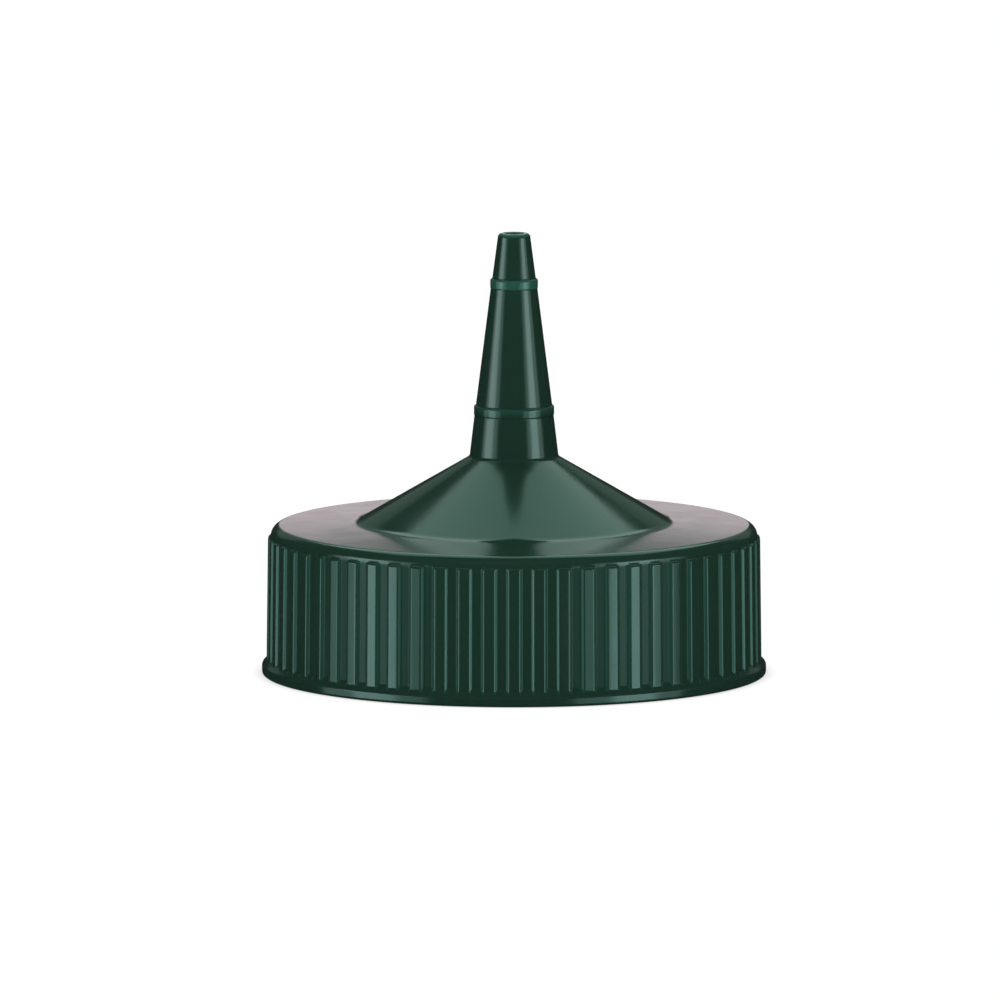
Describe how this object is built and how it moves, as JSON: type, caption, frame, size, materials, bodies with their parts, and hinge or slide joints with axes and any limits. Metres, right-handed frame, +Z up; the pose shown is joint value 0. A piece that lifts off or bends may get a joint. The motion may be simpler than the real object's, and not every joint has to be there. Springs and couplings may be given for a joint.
{
  "type": "squeeze bottle cap",
  "caption": "One-piece screw cap for a wide mouth squeeze bottle, with a ribbed skirt, a flat deck, a cone and a tapered dispensing nozzle.",
  "frame": {"origin": "centre of the rim's bottom plane, on the axis of the cap", "axes": "+Z up the nozzle, out of the bottle; +X and +Y along the rim, with one grip rib centred on -Y"},
  "size_m": [0.0582, 0.0582, 0.051],
  "materials": {
    "green_plastic": "gloss"
  },
  "bodies": {
    "root": {"cap": "green_plastic"}
  },
  "joints": []
}
